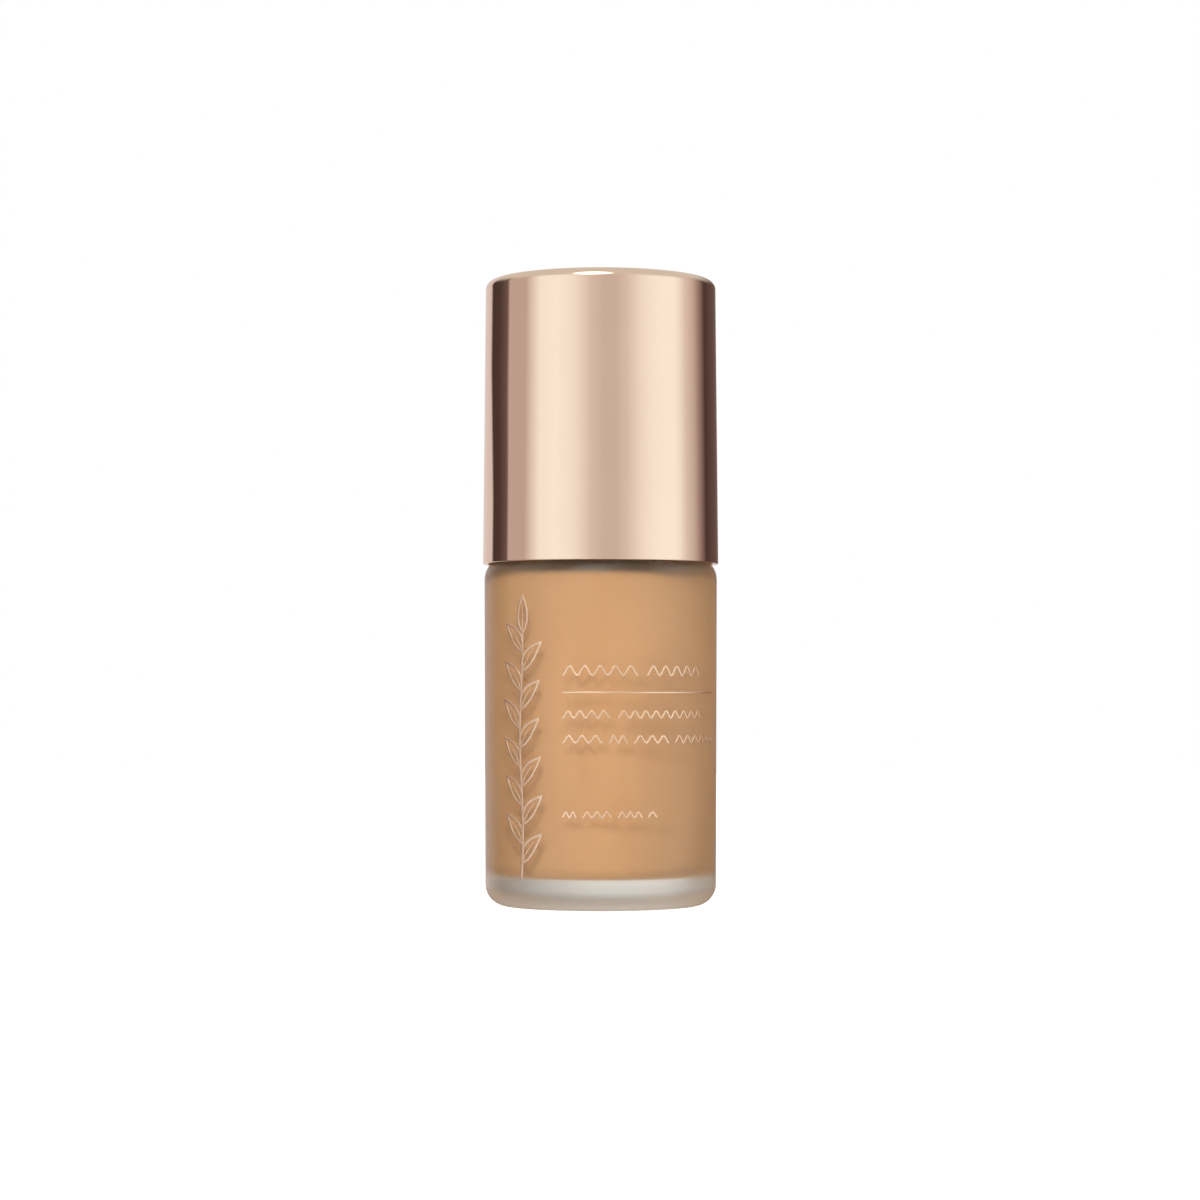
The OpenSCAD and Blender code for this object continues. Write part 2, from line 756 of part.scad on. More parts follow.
glass_bottle();
foundation_liquid();
shade_label();
foil_sprig();
foil_bars();
pump_housing();
housing_cover();
neck_gasket();
dip_tube();
return_spring();
screw_collar();
collar_sleeve();
pump_stem();
stem_core();
piston_seal();
inlet_ball();
actuator_core();
actuator_shell();
nozzle_insert();
cap_shell();
cap_liner();
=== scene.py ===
"""Foundation bottle: the looks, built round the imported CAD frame. Lengths are in metres."""
import math

import bpy
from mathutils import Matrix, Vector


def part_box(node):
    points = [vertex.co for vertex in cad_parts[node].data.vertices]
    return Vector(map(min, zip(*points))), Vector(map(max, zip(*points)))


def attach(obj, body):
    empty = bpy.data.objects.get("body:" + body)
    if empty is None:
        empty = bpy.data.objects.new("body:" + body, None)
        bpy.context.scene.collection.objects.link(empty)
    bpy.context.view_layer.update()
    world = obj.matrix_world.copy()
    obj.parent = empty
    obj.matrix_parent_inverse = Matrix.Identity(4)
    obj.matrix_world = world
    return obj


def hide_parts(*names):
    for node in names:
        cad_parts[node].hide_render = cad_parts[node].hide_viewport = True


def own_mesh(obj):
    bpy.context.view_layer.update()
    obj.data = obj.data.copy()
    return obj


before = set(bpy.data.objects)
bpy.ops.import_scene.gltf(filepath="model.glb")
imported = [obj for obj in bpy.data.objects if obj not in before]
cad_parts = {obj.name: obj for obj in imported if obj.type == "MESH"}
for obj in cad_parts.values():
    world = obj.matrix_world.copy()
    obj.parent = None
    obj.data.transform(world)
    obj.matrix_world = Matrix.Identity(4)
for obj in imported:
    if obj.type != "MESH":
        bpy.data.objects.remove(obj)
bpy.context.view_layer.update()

MM = 0.001
TAU = 2 * math.pi
SAME = 1e-6             # lengths closer than this are equal
ON_AXIS = 1e-9          # a radius below this is on the axis
ARC_STEPS = 14          # steps in a rounded corner
GLASS_SEGMENTS = 288    # steps round a revolved piece
CAP_SEGMENTS = 360
SLEEVE_SEGMENTS = 192
FLOOR_SEGMENTS = 96
SOFT_EDGE = 60          # degrees: an edge flatter than this shades smoothly


# ---- sizes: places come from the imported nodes, walls and roundings from the design ----

def span(node):
    """A round node's radius and its lowest and highest z."""
    low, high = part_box(node)
    return (high[0] - low[0]) / 2, low[2], high[2]


body_r, _, lip_z = span("glass_bottle")
cap_r, cap_z, cap_top_z = span("cap_shell")
sleeve_r, sleeve_z, sleeve_top_z = span("collar_sleeve")
_, _, level_z = span("foundation_liquid")

NECK_H = 14.1 * MM              # shoulder to lip
BODY_DRAFT = 0.21 * MM          # the foot is this much narrower than the shoulder
GLASS_WALL = 3 * MM
GLASS_FLOOR = 4.5 * MM
GLASS_SHOULDER = 3 * MM
SHOULDER_ROUND = 3.65 * MM
HEEL_ROUND = 3.2 * MM
CAVITY_ROUND = 2.0 * MM
CEILING_ROUND = 1.0 * MM

shoulder_z = lip_z - NECK_H
foot_r = body_r - BODY_DRAFT
ceiling_z = shoulder_z - GLASS_SHOULDER
cavity_r = body_r - GLASS_WALL
cavity_foot_r = foot_r - GLASS_WALL


def glass_r(z):
    """Outside radius of the glass between its heel and its shoulder."""
    return foot_r + (body_r - foot_r) * z / shoulder_z


# ---- mesh helpers ----

def unit(x, y):
    n = math.hypot(x, y)
    return (x / n, y / n)


def mesh_object(name, verts, faces, sharp=40):
    """A mesh whose edges are hard where they turn by more than sharp degrees."""
    mesh = bpy.data.meshes.new(name)
    mesh.from_pydata(verts, [], faces)
    mesh.validate()
    mesh.update()
    for p in mesh.polygons:
        p.use_smooth = True
    mesh.set_sharp_from_angle(angle=math.radians(sharp))
    obj = bpy.data.objects.new(name, mesh)
    bpy.context.scene.collection.objects.link(obj)
    return obj


def corner(a, b, c, r):
    """The corner b between a and c, rounded to radius r, as points on a tangent arc."""
    if r <= 0:
        return [b]
    ua = unit(a[0] - b[0], a[1] - b[1])
    uc = unit(c[0] - b[0], c[1] - b[1])
    half = math.acos(max(-1, min(1, ua[0] * uc[0] + ua[1] * uc[1]))) / 2
    mid = unit(ua[0] + uc[0], ua[1] + uc[1])
    centre = (b[0] + mid[0] * r / math.sin(half), b[1] + mid[1] * r / math.sin(half))
    reach = r / math.tan(half)
    p = (b[0] + ua[0] * reach - centre[0], b[1] + ua[1] * reach - centre[1])
    q = (b[0] + uc[0] * reach - centre[0], b[1] + uc[1] * reach - centre[1])
    start = math.atan2(p[1], p[0])
    turn = math.atan2(p[0] * q[1] - p[1] * q[0], p[0] * q[0] + p[1] * q[1])
    angles = [start + turn * i / ARC_STEPS for i in range(ARC_STEPS + 1)]
    return [(centre[0] + r * math.cos(a), centre[1] + r * math.sin(a)) for a in angles]


def outline(corners):
    """Points of a closed profile from corners written as (radius, z) or (radius, z, rounding)."""
    points = []
    for i, c in enumerate(corners):
        after = corners[(i + 1) % len(corners)]
        points += corner(corners[i - 1][:2], c[:2], after[:2], c[2] if len(c) > 2 else 0)
    return points


def revolve(name, points, segments=GLASS_SEGMENTS, shape=None, **shading):
    """A closed solid of revolution. shape(angle, r, z) may move a point in or out."""
    verts, faces, rows = [], [], []
    for r, z in points:
        if r < ON_AXIS:
            rows.append([len(verts)])
            verts.append((0, 0, z))
            continue
        rows.append(list(range(len(verts), len(verts) + segments)))
        for k in range(segments):
            a = TAU * k / segments
            out = shape(a, r, z) if shape else r
            verts.append((out * math.cos(a), out * math.sin(a), z))
    for i, row in enumerate(rows):
        after = rows[(i + 1) % len(rows)]
        if len(row) == 1 and len(after) == 1:
            continue
        for k in range(segments):
            n = (k + 1) % segments
            if len(row) == 1:
                faces.append((row[0], after[n], after[k]))
            elif len(after) == 1:
                faces.append((row[k], row[n], after[0]))
            else:
                faces.append((row[k], row[n], after[n], after[k]))
    return mesh_object(name, verts, faces, **shading)


def close_tube(faces, base, count, sides):
    """Faces of a closed tube whose sections are count rings of sides vertices from base on."""
    for i in range(count - 1):
        a, b = base + i * sides, base + (i + 1) * sides
        for j in range(sides):
            k = (j + 1) % sides
            faces.append((a + j, a + k, b + k, b + j))
    faces.append(tuple(base + j for j in reversed(range(sides))))
    faces.append(tuple(base + (count - 1) * sides + j for j in range(sides)))


# ---- materials: noise scales are in waves per metre ----

class Nodes:
    """Short calls that add nodes to a node tree."""

    def __init__(self, tree):
        self.tree = tree

    def node(self, kind, **values):
        n = self.tree.nodes.new(kind)
        for k, v in values.items():
            setattr(n, k, v)
        return n

    def link(self, a, b):
        self.tree.links.new(a, b)

    def math(self, operation, *values):
        """Each value is a number or another node's output."""
        m = self.node("ShaderNodeMath", operation=operation)
        for value, socket in zip(values, m.inputs):
            if isinstance(value, (int, float)):
                socket.default_value = value
            else:
                self.link(value, socket)
        return m.outputs[0]

    def remap(self, value, low, high, start=0.3, end=0.7, shape="LINEAR"):
        """A level that runs from low to high while value runs from start to end."""
        m = self.node("ShaderNodeMapRange", interpolation_type=shape)
        limits = {"From Min": start, "From Max": end, "To Min": low, "To Max": high}
        for name, limit in limits.items():
            m.inputs[name].default_value = limit
        self.link(value, m.inputs["Value"])
        return m.outputs["Result"]

    def mix(self, share, a, b):
        m = self.node("ShaderNodeMixShader")
        for value, socket in zip((share, a, b), m.inputs):
            self.link(value, socket)
        return m.outputs[0]


class Look(Nodes):
    """A Principled material with helpers for the nodes that feed it."""

    def __init__(self, name, **values):
        self.mat = bpy.data.materials.new(name)
        self.mat.use_nodes = True
        super().__init__(self.mat.node_tree)
        self.shader = self.tree.nodes["Principled BSDF"]
        self.coord = self.node("ShaderNodeTexCoord")
        for k, v in values.items():
            self.shader.inputs[k.replace("_", " ")].default_value = v

    def noise(self, scale, detail=3, roughness=0.5, stretch=(1, 1, 1), distortion=0.0):
        m = self.node("ShaderNodeMapping")
        m.inputs["Scale"].default_value = stretch
        self.link(self.coord.outputs["Object"], m.inputs["Vector"])
        n = self.node("ShaderNodeTexNoise")
        n.inputs["Scale"].default_value = scale
        n.inputs["Detail"].default_value = detail
        n.inputs["Roughness"].default_value = roughness
        n.inputs["Distortion"].default_value = distortion
        self.link(m.outputs["Vector"], n.inputs["Vector"])
        return n.outputs["Fac"]

    def place(self, axis):
        """Where a point lies along an axis of the object, in metres."""
        xyz = self.node("ShaderNodeSeparateXYZ")
        self.link(self.coord.outputs["Object"], xyz.inputs[0])
        return xyz.outputs[axis]

    def tint(self, value, low, high):
        """Base colour that runs from low to high with value."""
        ramp = self.node("ShaderNodeValToRGB")
        for element, position, colour in zip(ramp.color_ramp.elements, (0.3, 0.7), (low, high)):
            element.position = position
            element.color = (*colour, 1)
        self.link(value, ramp.inputs["Fac"])
        self.link(ramp.outputs["Color"], self.shader.inputs["Base Color"])

    def rough(self, value):
        self.link(value, self.shader.inputs["Roughness"])

    def bump(self, *layers):
        """layers are (height, distance in metres, strength), finest last."""
        normal = None
        for height, distance, strength in layers:
            b = self.node("ShaderNodeBump")
            b.inputs["Distance"].default_value = distance
            b.inputs["Strength"].default_value = strength
            self.link(height, b.inputs["Height"])
            if normal:
                self.link(normal, b.inputs["Normal"])
            normal = b.outputs["Normal"]
        self.link(normal, self.shader.inputs["Normal"])


# Roughness between which frost and foil vary. Below 0.28 the renderer leaves dark specks in them
FROST_ROUGH = (0.285, 0.35)
FOIL_ROUGH = (0.285, 0.42)
GLASS_IOR = 1.5
LIQUID_IOR = 1.12       # low, because it meets glass and not air
PLASTIC_IOR = 1.49


def rose_gold(name, low, high, rough):
    """Anodised metal with an upright brushed grain too fine to see singly."""
    k = Look(name, Metallic=1.0)
    k.tint(k.noise(60, 3), low, high)
    k.rough(k.remap(k.noise(900, 4, 0.6), *rough))
    grain = k.noise(9000, 2, 0.6, stretch=(1, 1, 0.06))
    k.bump((k.noise(180, 2), 2e-6, 0.5), (grain, 2e-7, 0.4))
    return k.mat


def plastic(name, low, high, rough, subsurface=0.25, scale=2500):
    """Moulded plastic with a fine sparked texture."""
    k = Look(name, IOR=PLASTIC_IOR, Subsurface_Weight=subsurface, Subsurface_Scale=1.5 * MM,
             Subsurface_Radius=(1.0, 0.9, 0.8))
    k.tint(k.noise(220, 4), low, high)
    k.rough(k.remap(k.noise(scale, 3), rough - 0.05, rough + 0.07))
    k.bump((k.noise(300, 2), 4e-6, 0.5), (k.noise(scale * 2, 3), 1.5e-6, 0.6))
    return k.mat


def foil(name, low, high):
    """Hot-stamped foil, slightly crinkled."""
    k = Look(name, Metallic=1.0)
    k.tint(k.noise(900, 4), low, high)
    k.rough(k.remap(k.noise(3500, 4), *FOIL_ROUGH))
    k.bump((k.noise(2500, 3), 6e-6, 0.6), (k.noise(9000, 2), 2e-6, 0.5))
    return k.mat


def frosted_glass():
    """Acid-frosted glass, roughest round the edge that it stands on."""
    k = Look("frosted_glass", IOR=GLASS_IOR, Transmission_Weight=1.0)
    k.shader.distribution = "MULTI_GGX"
    k.tint(k.noise(120, 3), (0.955, 0.945, 0.915), (0.985, 0.975, 0.945))
    heel = k.remap(k.place("Z"), 0.55, 0, 0.6 * MM, 3 * MM)
    k.rough(k.math("ADD", k.remap(k.noise(1400, 4, 0.6), *FROST_ROUGH), heel))
    k.bump((k.noise(90, 2), 1.2e-5, 0.5), (k.noise(2500, 3), 1e-6, 0.3))
    return k.mat


def clear_glass():
    k = Look("clear_glass", IOR=GLASS_IOR, Transmission_Weight=1.0)
    k.tint(k.noise(120, 3), (0.95, 0.935, 0.89), (0.98, 0.965, 0.93))
    k.rough(k.remap(k.noise(600, 3), 0.02, 0.05))
    k.bump((k.noise(120, 2), 1.5e-5, 0.6))
    return k.mat


def liquid_foundation():
    """Pigmented liquid with faint swirls where it has settled."""
    k = Look("liquid_foundation", IOR=LIQUID_IOR, Subsurface_Weight=0.35,
             Subsurface_Scale=1.2 * MM, Subsurface_Radius=(1.0, 0.55, 0.3))
    swirl = k.noise(70, 5, 0.55, stretch=(1, 1, 0.35), distortion=1.4)
    k.tint(swirl, (0.515, 0.292, 0.138), (0.568, 0.334, 0.164))
    k.rough(k.remap(k.noise(900, 3), 0.22, 0.34))
    wave = k.noise(160, 3, 0.5, stretch=(1, 1, 0.4), distortion=0.8)
    k.bump((wave, 2.5e-5, 0.5), (k.noise(1500, 2), 3e-6, 0.4))
    return k.mat


def drawn_steel():
    k = Look("drawn_steel", Metallic=1.0)
    k.tint(k.noise(900, 3), (0.60, 0.60, 0.61), (0.72, 0.72, 0.73))
    k.rough(k.remap(k.noise(4000, 3), 0.14, 0.28))
    k.bump((k.noise(6000, 3), 2e-6, 0.6))
    return k.mat


def paper_sticker():
    k = Look("paper_sticker")
    grain = k.noise(2600, 5, 0.7)
    k.tint(grain, (0.83, 0.81, 0.77), (0.90, 0.89, 0.86))
    k.rough(k.remap(grain, 0.7, 0.9))
    k.bump((grain, 1.2e-5, 0.7), (k.noise(9000, 3), 4e-6, 0.6))
    return k.mat


looks = {
    "cap": rose_gold("rose_gold_mirror", (0.83, 0.675, 0.53), (0.86, 0.70, 0.555), (0.035, 0.065)),
    "trim": rose_gold("rose_gold_trim", (0.83, 0.66, 0.52), (0.86, 0.69, 0.55), (0.08, 0.15)),
    "sprig": foil("rose_gold_foil_deep", (0.74, 0.54, 0.37), (0.88, 0.67, 0.48)),
    "rows": foil("rose_gold_foil_pale", (0.82, 0.60, 0.41), (0.92, 0.70, 0.50)),
    "frosted": frosted_glass(),
    "clear": clear_glass(),
    "liquid": liquid_foundation(),
    "natural": plastic("natural_polypropylene", (0.80, 0.79, 0.76), (0.87, 0.86, 0.83), 0.36),
    "seal": plastic("soft_polyethylene", (0.72, 0.75, 0.76), (0.80, 0.82, 0.82), 0.45,
                    subsurface=0.4, scale=1800),
    "steel": drawn_steel(),
    "paper": paper_sticker(),
}

# What each CAD node wears, those that a finer piece stands for too
NODE_LOOKS = {
    "glass_bottle": "frosted", "foundation_liquid": "liquid", "shade_label": "paper",
    "foil_sprig": "sprig", "foil_bars": "rows", "pump_housing": "natural",
    "housing_cover": "natural", "neck_gasket": "seal", "dip_tube": "natural",
    "return_spring": "steel", "screw_collar": "natural", "collar_sleeve": "trim",
    "pump_stem": "natural", "stem_core": "natural", "piston_seal": "seal",
    "inlet_ball": "steel", "actuator_core": "natural", "actuator_shell": "trim",
    "nozzle_insert": "trim", "cap_shell": "cap", "cap_liner": "natural",
}


def dress_nodes():
    for node, look in NODE_LOOKS.items():
        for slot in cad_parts[node].material_slots:
            slot.material = looks[look]


def finish_piece(obj, wears, body, node):
    """Gives a piece its materials and body, and lets it stand for its CAD node."""
    for look in wears:
        obj.data.materials.append(looks[look])
    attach(obj, body)
    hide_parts(node)


# ---- glass ----

NECK_R = 9.05 * MM
NECK_BORE_R = 6.2 * MM
NECK_ROOT_ROUND = 0.8 * MM
BORE_FOOT_ROUND = 1 * MM
LIP_ROUND = 0.5 * MM
LIP_BORE_ROUND = 0.4 * MM
BEAD_R = 9.6 * MM
BEAD_H = 1.2 * MM
BEAD_ROUND = 0.3 * MM
FOOT_RING_R = 10.8 * MM         # inner edge of the ring that the bottle stands on
FOOT_RING_ROUND = 0.4 * MM
FOOT_RECESS = 0.7 * MM
RECESS_SLOPE = 1 * MM
RECESS_ROUND = 0.6 * MM
BEAD_LIFT = 1.8 * MM            # shoulder to the bead's underside
# How far into the wall a face of the cavity, its floor or the bore still counts as clear
CLEAR_DEPTH = 0.5 * MM
FLOOR_DEPTH = 0.1 * MM
BORE_DEPTH = 0.6 * MM
NECK_START = 0.3 * MM           # above the shoulder, where the frost ends
bead_z = shoulder_z + BEAD_LIFT

THREAD_R = 9.95 * MM
THREAD_PITCH = 3.175 * MM
THREAD_TURNS = 1.5
THREAD_HALF_W = 1.25 * MM       # at the root
THREAD_FLANK = 0.75 * MM        # height over which the thread rises
THREAD_RUNOUT = math.radians(30)
THREAD_ROWS = 60                # sections of the neck that carry it
THREAD_LIFT = 5.8 * MM          # shoulder to the middle of the thread's lower end
thread_z = shoulder_z + THREAD_LIFT


def threaded(angle, r, z):
    """The neck's radius with its thread on it."""
    if not (abs(r - NECK_R) < SAME and z > bead_z + BEAD_H):
        return r
    last = TAU * THREAD_TURNS
    best = 0.0
    for turn in range(math.ceil(THREAD_TURNS) + 1):
        a = angle + TAU * turn
        if not 0 <= a <= last:
            continue
        off = abs(z - thread_z - THREAD_PITCH * a / TAU)
        rise = max(0.0, min(1.0, (THREAD_HALF_W - off) / THREAD_FLANK))
        fade = min(1.0, a / THREAD_RUNOUT, (last - a) / THREAD_RUNOUT)
        best = max(best, rise * fade)
    return r + (THREAD_R - NECK_R) * best * best * (3 - 2 * best)


def neck_rows(profile):
    """The profile with its threaded stretch cut into rows."""
    points = []
    for i, p in enumerate(profile):
        q = profile[(i + 1) % len(profile)]
        points.append(p)
        upright = abs(p[0] - NECK_R) < SAME and abs(q[0] - NECK_R) < SAME
        if upright and p[1] > bead_z + BEAD_H / 2:
            points += [(NECK_R, p[1] + (q[1] - p[1]) * k / THREAD_ROWS)
                       for k in range(1, THREAD_ROWS)]
    return points


def is_clear(x, y, z):
    """Whether the glass is left clear here: in its cavity, its bore and its neck."""
    r = math.hypot(x, y)
    low, high = GLASS_FLOOR - FLOOR_DEPTH, ceiling_z + CLEAR_DEPTH
    in_cavity = r < cavity_r + CLEAR_DEPTH and low < z < high
    in_bore = r < NECK_BORE_R + BORE_DEPTH and z > ceiling_z
    return in_cavity or in_bore or z > shoulder_z + NECK_START


def build_glass():
    profile = outline([
        (0, FOOT_RECESS),
        (FOOT_RING_R - RECESS_SLOPE, FOOT_RECESS, RECESS_ROUND),
        (FOOT_RING_R, 0, FOOT_RING_ROUND),
        (foot_r, 0, HEEL_ROUND),
        (body_r, shoulder_z, SHOULDER_ROUND),
        (NECK_R, shoulder_z, NECK_ROOT_ROUND),
        (NECK_R, bead_z),
        (BEAD_R, bead_z, BEAD_ROUND),
        (BEAD_R, bead_z + BEAD_H, BEAD_ROUND),
        (NECK_R, bead_z + BEAD_H),
        (NECK_R, lip_z, LIP_ROUND),
        (NECK_BORE_R, lip_z, LIP_BORE_ROUND),
        (NECK_BORE_R, ceiling_z, BORE_FOOT_ROUND),
        (cavity_r, ceiling_z, CEILING_ROUND),
        (cavity_foot_r, GLASS_FLOOR, CAVITY_ROUND),
        (0, GLASS_FLOOR),
    ])
    glass = revolve("bottle_glass", neck_rows(profile), shape=threaded)
    glass.visible_shadow = False    # light reaches the liquid through the glass
    finish_piece(glass, ("frosted", "clear"), "bottle", "glass_bottle")
    for p in glass.data.polygons:
        p.material_index = 1 if is_clear(*p.center) else 0


# ---- liquid: it fills the cavity round the pump ----

WET = 0.03 * MM                 # reaches into the glass, so that it looks wet against it
CLEAR = 0.06 * MM               # air round the pump's parts
FILM = 0.15 * MM                # liquid that clings to the glass above the level
FILM_R = 9 * MM
FILM_WALL = 1.6 * MM
FILM_ROUND = 0.1 * MM
HOUSING_R = 5.6 * MM
CAGE_R = 3.2 * MM
SOCKET_R = 2.7 * MM
TUBE_R = 1.7 * MM
FLANGE_T = 0.8 * MM             # the pump hangs from its flange on the lip
CYLINDER_H = 18.6 * MM          # flange to the cylinder's floor
CYLINDER_FLOOR_T = 1 * MM
SOCKET_H = 4 * MM


def build_liquid():
    _, dip_z, _ = span("dip_tube")
    _, socket_z, _ = span("pump_housing")
    cylinder_z = lip_z + FLANGE_T - CYLINDER_H - CYLINDER_FLOOR_T
    cage_z = socket_z + SOCKET_H
    profile = outline([
        (0, GLASS_FLOOR - WET),
        (cavity_foot_r + WET, GLASS_FLOOR - WET, CAVITY_ROUND),
        (cavity_r + WET, ceiling_z + WET, CEILING_ROUND),
        (FILM_R, ceiling_z + WET),
        (FILM_R, ceiling_z - FILM),
        (cavity_r - FILM_WALL, ceiling_z - FILM, FILM_ROUND),
        (cavity_r - FILM_WALL, level_z, FILM_ROUND),
        (HOUSING_R + CLEAR, level_z),
        (HOUSING_R + CLEAR, cylinder_z - CLEAR),
        (CAGE_R + CLEAR, cylinder_z - CLEAR),
        (CAGE_R + CLEAR, cage_z - CLEAR),
        (SOCKET_R + CLEAR, cage_z - CLEAR),
        (SOCKET_R + CLEAR, socket_z - CLEAR),
        (TUBE_R + CLEAR, socket_z - CLEAR),
        (TUBE_R + CLEAR, dip_z - CLEAR),
        (0, dip_z - CLEAR),
    ])
    liquid = revolve("liquid_foundation", profile)
    finish_piece(liquid, ("liquid",), "bottle", "foundation_liquid")


# ---- return spring ----

SPRING_TURNS = 7
SPRING_STEPS = 40               # sections of the wire in a turn
WIRE_SIDES = 12
WIRE_R = 0.3 * MM
CLOSED_TURN = 2.2 * WIRE_R      # rise of the first and of the last turn


def build_spring():
    """The coil under the stem. In the real pump it shortens with the stroke; this one keeps the CAD
    spring's length.
    """
    low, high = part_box("return_spring")
    coil_r = high[0] - WIRE_R
    height = high[2] - low[2]
    rise = height - 2 * WIRE_R
    middle = (rise - 2 * CLOSED_TURN) / (SPRING_TURNS - 2)

    def wire_z(t):
        if t < 1:
            return CLOSED_TURN * t
        if t > SPRING_TURNS - 1:
            return rise - CLOSED_TURN * (SPRING_TURNS - t)
        return CLOSED_TURN + middle * (t - 1)

    verts, faces = [], []
    rings = SPRING_TURNS * SPRING_STEPS + 1
    for i in range(rings):
        t = i / SPRING_STEPS
        z = low[2] + WIRE_R + wire_z(t)
        for k in range(WIRE_SIDES):
            s = -TAU * k / WIRE_SIDES
            r = coil_r + WIRE_R * math.cos(s)
            verts.append((r * math.cos(TAU * t), r * math.sin(TAU * t), z + WIRE_R * math.sin(s)))
    close_tube(faces, 0, rings, WIRE_SIDES)
    coil = mesh_object("return_coil", verts, faces)
    finish_piece(coil, ("steel",), "pump", "return_spring")
    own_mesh(coil)


# ---- foil ----

FOIL_T = 0.045 * MM
FOIL_GAP = 0.008 * MM
ART_R = 17.45 * MM              # radius at which widths on the glass are measured
FOIL_SECTION = ((-1.0, 0.0), (-0.94, 0.7), (-0.72, 0.94), (0.0, 1.0), (0.72, 0.94), (0.94, 0.7),
                (1.0, 0.0))     # across and up, from edge to edge

SPRIG = math.radians(-42)       # bearing of its stem from the front
SPRIG_LINE = 0.215 * MM         # half the width of a stroke
LEAF_LINE = 0.85                # widths of the other strokes, as shares of it
RIB_LINE = 0.6
STEM_LINE = 1.3
STEM_TAPER = 0.6
RIB_TAPER = 0.6
STEM_POINT = 0.3                # share of its width with which the stem starts
STEM_POINT_STEPS = 6
STEM_STEPS = 160
STEM_SWAY = 0.3 * MM
STEM_WAVES = 1.5
LEAVES = 13
LEAF_RISE = 2.8 * MM            # from one leaf to the next
LEAF_DROP = 0.2 * MM
LEAF_L = 5.4 * MM
LEAF_W = 0.9 * MM
LEAF_BEND = 0.35 * MM
LEAF_LEAN = math.radians(40)
LEAF_STEPS = 40
LEAF_FULLNESS = 0.85            # below 1, the leaf is widest nearer its stalk
RIB_STEPS = 16
RIB_START = 0.05                # where the rib lies, as shares of the leaf's length
RIB_L = 0.67

MARGIN = math.radians(-18.6)    # bearing of the rows' left end
RULE_Z = 31.8 * MM
RULE_L = 27 * MM
RULE_LINE = 0.11 * MM
RULE_STEPS = 90
WAVE_LINE = 0.13 * MM
WAVE_STEPS = 24
# Rows of waves, in mm: height over the rule, height of a wave, its length, (start, end) of each run
WAVE_ROWS = (
    (2.5, 1.3, 2.2, ((0, 11.2), (12.6, 23))),
    (-3.7, 1.0, 1.75, ((0, 7), (8.2, 23.4))),
    (-7.3, 1.0, 1.75, ((0, 5.9), (6.9, 9.6), (10.6, 16.3), (17.4, 28))),
    (-18.1, 0.75, 1.3, ((0, 2.1), (3, 7.3), (8.2, 11.9), (12.7, 14.3))),
)


def wrap(u, z, lift):
    """A point of the artwork: u along the glass to the right of the front, z up, lift off it."""
    a = u / ART_R - math.pi / 2
    r = glass_r(z) + lift
    return (r * math.cos(a), r * math.sin(a), z)


def stroke(points, widths, verts, faces):
    """A closed ribbon of foil along a line, with a domed top."""
    base, n = len(verts), len(points)
    for i, (u, z) in enumerate(points):
        before, after = points[max(i - 1, 0)], points[min(i + 1, n - 1)]
        t = unit(after[0] - before[0], after[1] - before[1])
        for across, up in FOIL_SECTION:
            off = widths[i] * across
            verts.append(wrap(u - t[1] * off, z + t[0] * off, FOIL_GAP + FOIL_T * up))
    close_tube(faces, base, n, len(FOIL_SECTION))


def build_sprig():
    """An upright stem with leaves by turns to the right and left, and one at its tip."""
    verts, faces = [], []
    low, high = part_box("foil_sprig")
    bottom, top = low[2], high[2]

    def stem_u(z):
        t = (z - bottom) / (top - bottom)
        return SPRIG * ART_R + STEM_SWAY * math.sin(TAU * STEM_WAVES * t)

    heights = [bottom + LEAF_RISE * LEAVES * i / STEM_STEPS for i in range(STEM_STEPS + 1)]
    widths = [SPRIG_LINE * (STEM_LINE - STEM_TAPER * i / STEM_STEPS)
              * min(1, STEM_POINT + i / STEM_POINT_STEPS) for i in range(STEM_STEPS + 1)]
    stroke([(stem_u(z), z) for z in heights], widths, verts, faces)

    for i in range(1, LEAVES + 1):
        z0 = bottom + LEAF_RISE * i - LEAF_DROP
        u0 = stem_u(z0)
        side = 0 if i == LEAVES else (-1 if i % 2 == 0 else 1)
        lean_u, lean_z = math.sin(LEAF_LEAN * side), math.cos(LEAF_LEAN * side)

        def place(t, w):
            """A point at t of the leaf's length, w to its right."""
            along, off = LEAF_L * t, w - LEAF_BEND * side * math.sin(math.pi * t)
            return (u0 + lean_u * along + lean_z * off, z0 + lean_z * along - lean_u * off)

        def half_width(t):
            return LEAF_W * math.sin(math.pi * t ** LEAF_FULLNESS)

        ts = [k / LEAF_STEPS for k in range(LEAF_STEPS + 1)]
        edge = [place(t, half_width(t)) for t in ts]
        edge += [place(t, -half_width(t)) for t in ts[-2::-1]]
        stroke(edge, [SPRIG_LINE * LEAF_LINE] * len(edge), verts, faces)
        ts = [k / RIB_STEPS for k in range(RIB_STEPS + 1)]
        thin = [SPRIG_LINE * RIB_LINE * (1 - RIB_TAPER * t) for t in ts]
        stroke([place(RIB_START + RIB_L * t, 0) for t in ts], thin, verts, faces)
    sprig = mesh_object("foil_leaf_sprig", verts, faces, SOFT_EDGE)
    finish_piece(sprig, ("sprig",), "bottle", "foil_sprig")


